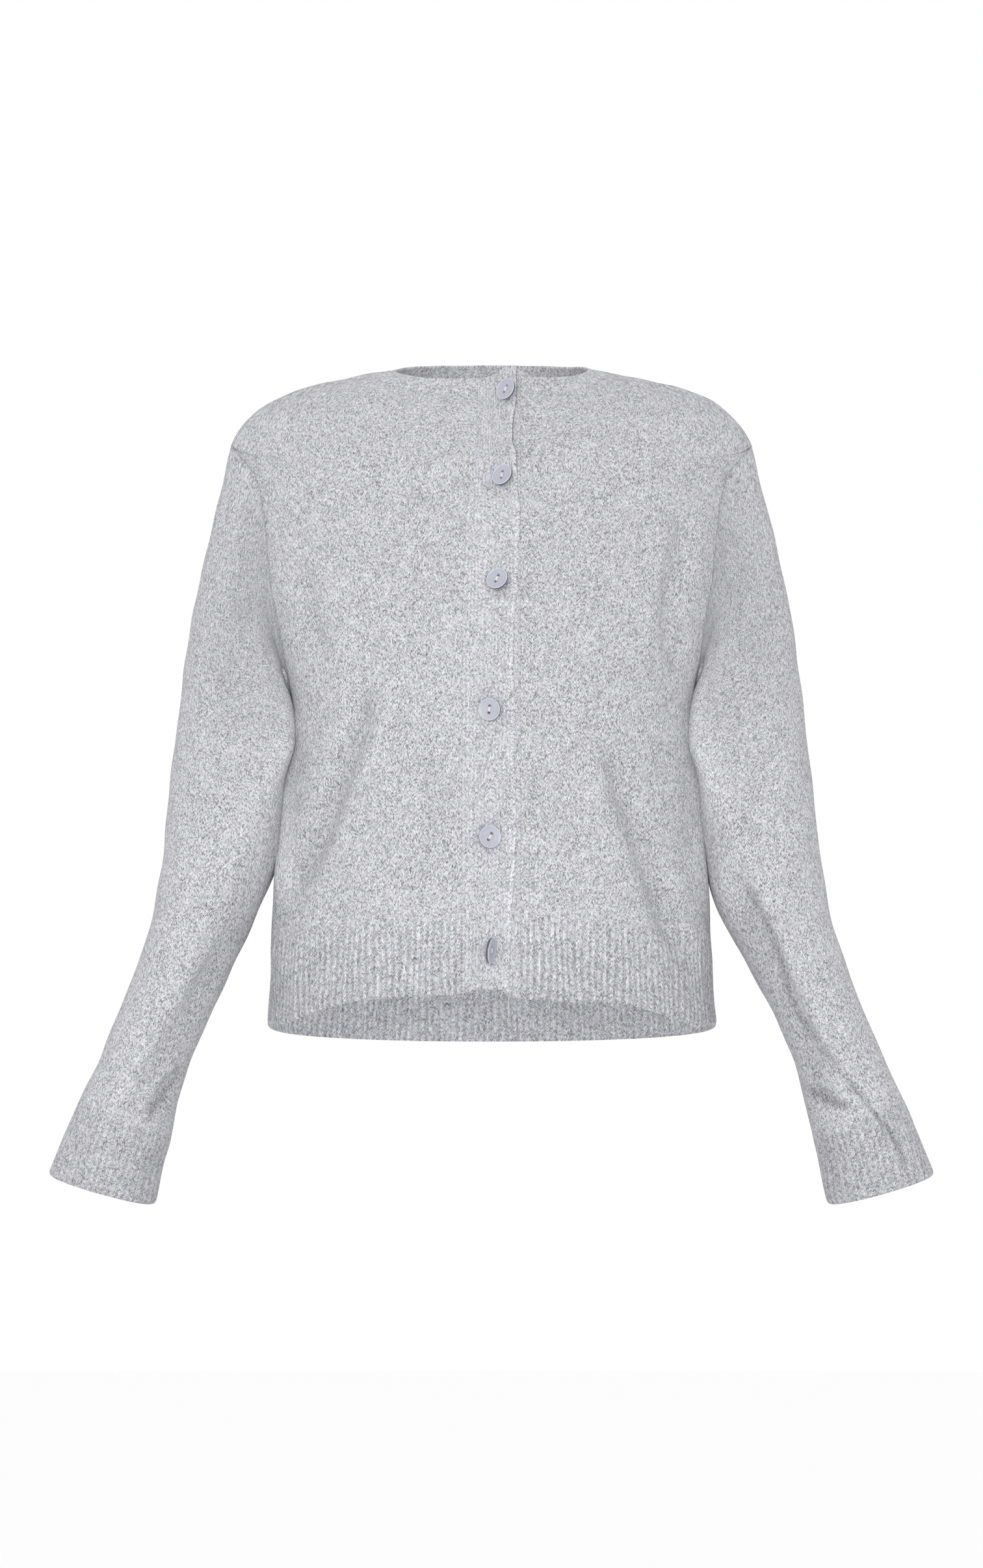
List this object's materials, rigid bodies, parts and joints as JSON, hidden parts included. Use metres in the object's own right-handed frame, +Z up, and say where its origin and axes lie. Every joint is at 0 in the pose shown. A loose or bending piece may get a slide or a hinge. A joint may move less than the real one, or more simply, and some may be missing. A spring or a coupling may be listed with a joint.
{
  "type": "button cardigan",
  "caption": "Long-sleeved crew-neck button cardigan in fine marl knit with ribbed hem, cuffs and bands, buttoned up and filled out as worn.",
  "frame": {"origin": "between the wearer's shoulders, about 11 mm below the points where the neckline meets the shoulder seams, where the shoulders carry the garment", "axes": "+X to the wearer's left, -Y out of the front, +Z up"},
  "size_m": [0.7074, 0.2464, 0.7142],
  "materials": {
    "knit": "soft heathered grey stockinette knit",
    "rib": "soft heathered grey ribbed knit",
    "button": "satin lilac grey"
  },
  "bodies": {
    "root": {"front_right": "knit", "front_left": "knit", "back": "knit", "sleeve_right": "knit", "sleeve_left": "knit", "hem_rib_right_front": "rib", "hem_rib_left_front": "rib", "hem_rib_back": "rib", "cuff_right": "rib", "cuff_left": "rib", "neckband": "rib", "buttonhole_band": "rib", "button_band": "rib", "button_1": "button", "button_2": "button", "button_3": "button", "button_4": "button", "button_5": "button", "button_6": "button"}
  },
  "joints": []
}
